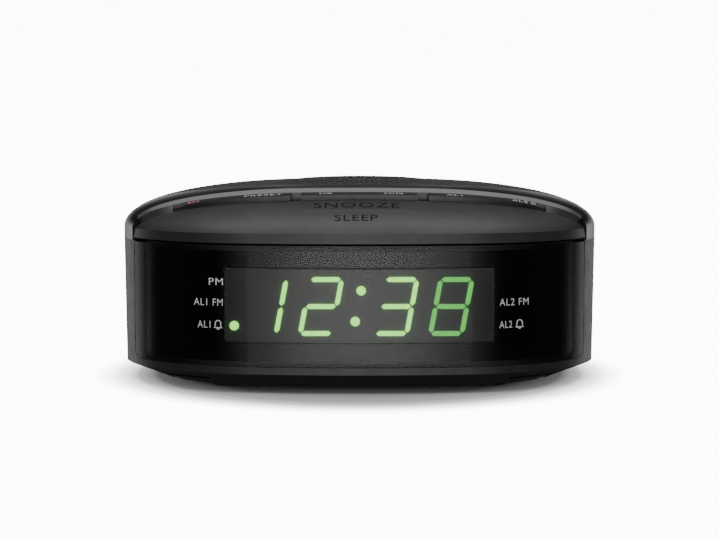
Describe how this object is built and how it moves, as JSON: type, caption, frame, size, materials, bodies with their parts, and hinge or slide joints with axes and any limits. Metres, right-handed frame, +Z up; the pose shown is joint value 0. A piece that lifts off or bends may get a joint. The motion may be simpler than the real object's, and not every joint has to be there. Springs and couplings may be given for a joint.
{
  "type": "clock radio",
  "caption": "Bedside clock radio: domed case, curved smoked front with green digits, wide snooze bar, rocker keys, top speaker grille.",
  "frame": {"origin": "middle of the object's box in plan, at the level the rubber feet stand on", "axes": "+Z up, the front with the display faces -Y, +X to the right seen from the front"},
  "size_m": [0.134, 0.124, 0.0561],
  "materials": {
    "case_side": "satin, fine moulded texture",
    "case_gloss": "high gloss black",
    "snooze_satin": "satin, soft sheen",
    "key_satin": "satin",
    "strip_satin": "semi gloss",
    "smoked_lens": "smoked clear plastic, polished",
    "mask_black": "printed black film",
    "grille_metal": "satin black paint",
    "segment_green": "lit, translucent",
    "segment_dim": "lit more faintly, translucent",
    "segment_off": "unlit, translucent",
    "display_black": "matt black",
    "board_green": "solder mask",
    "chip_black": "moulded epoxy",
    "tin_plate": "tin plated sheet",
    "capacitor_sleeve": "shrink sleeve",
    "switch_body": "moulded",
    "steel_zinc": "zinc plated",
    "spring_steel": "drawn wire",
    "speaker_frame": "black stamped steel",
    "ferrite": "sintered ferrite",
    "cone_paper": "pressed paper pulp",
    "surround_foam": "soft foam",
    "core_steel": "stacked laminations, varnished",
    "winding_tape": "polyester tape",
    "cable_grey": "flat vinyl cable",
    "foot_rubber": "soft moulded rubber",
    "label_silver": "blank foil label",
    "gland_rubber": "moulded rubber",
    "legend_white": "printed ink",
    "legend_red": "printed ink",
    "legend_dark": "printed ink"
  },
  "bodies": {
    "case": {"lower_cabinet": "case_side", "upper_cabinet": "case_gloss", "front_lens": "smoked_lens", "display_mask": "mask_black", "key_strip": "strip_satin", "speaker_grille": "grille_metal", "speaker_basket": "speaker_frame", "speaker_yoke": "steel_zinc", "speaker_magnet": "ferrite", "speaker_top_plate": "steel_zinc", "cone_surround": "surround_foam", "case_screws": "steel_zinc", "speaker_screws": "steel_zinc", "board_screws": "steel_zinc", "main_board": "board_green", "key_board": "board_green", "display_board": "board_green", "key_switches": "switch_body", "board_chips": "chip_black", "tuner_can": "tin_plate", "capacitors": "capacitor_sleeve", "ribbon_cable": "cable_grey", "display_housing": "display_black", "lit_segments": "segment_green", "last_digit_segments": "segment_dim", "unlit_segments": "segment_off", "transformer_core": "core_steel", "transformer_winding": "winding_tape", "volume_control": "tin_plate", "battery_contacts": "spring_steel", "snooze_springs": "spring_steel", "rubber_feet": "foot_rubber", "rating_label": "label_silver", "mains_gland": "gland_rubber", "aerial_grommet": "gland_rubber"},
    "snooze": {"snooze_button": "snooze_satin"},
    "power_key": {"power_preset_key": "key_satin"},
    "time_key": {"hour_minute_key": "key_satin"},
    "alarm_rocker": {"alarm_key": "key_satin"},
    "volume": {"volume_wheel": "case_side"},
    "door": {"battery_door": "case_side"},
    "cone": {"speaker_cone": "cone_paper", "dust_cap": "cone_paper"}
  },
  "joints": [
    {"name": "snooze_press", "type": "slide", "parent": "case", "child": "snooze", "axis": [0, 0, -1], "range_m": [0, 0.0006], "stiffness_N_per_m": 3000, "deforming": ["snooze_springs"]},
    {"name": "power_key_rock", "type": "hinge", "parent": "case", "child": "power_key", "pos_m": [-0.03525, -0.0385, 0.05018], "axis": [0, 1, 0], "range_deg": [-1.2, 1.2], "stiffness_Nm_per_rad": 2},
    {"name": "time_key_rock", "type": "hinge", "parent": "case", "child": "time_key", "pos_m": [0, -0.0385, 0.05136], "axis": [0, 1, 0], "range_deg": [-1.2, 1.2], "stiffness_Nm_per_rad": 2},
    {"name": "alarm_key_rock", "type": "hinge", "parent": "case", "child": "alarm_rocker", "pos_m": [0.03525, -0.0385, 0.05018], "axis": [0, 1, 0], "range_deg": [-1.2, 1.2], "stiffness_Nm_per_rad": 2},
    {"name": "volume_turn", "type": "hinge", "parent": "case", "child": "volume", "pos_m": [0.05257, 0.01951, 0.026], "axis": [0, 0, 1], "range_deg": [-140, 140]},
    {"name": "battery_door_lift", "type": "slide", "parent": "case", "child": "door", "axis": [0, 0, -1], "range_m": [0, 0.025]},
    {"name": "cone_travel", "type": "slide", "parent": "case", "child": "cone", "axis": [0, 0, 1], "range_m": [-0.0005, 0.0005], "stiffness_N_per_m": 2000}
  ]
}
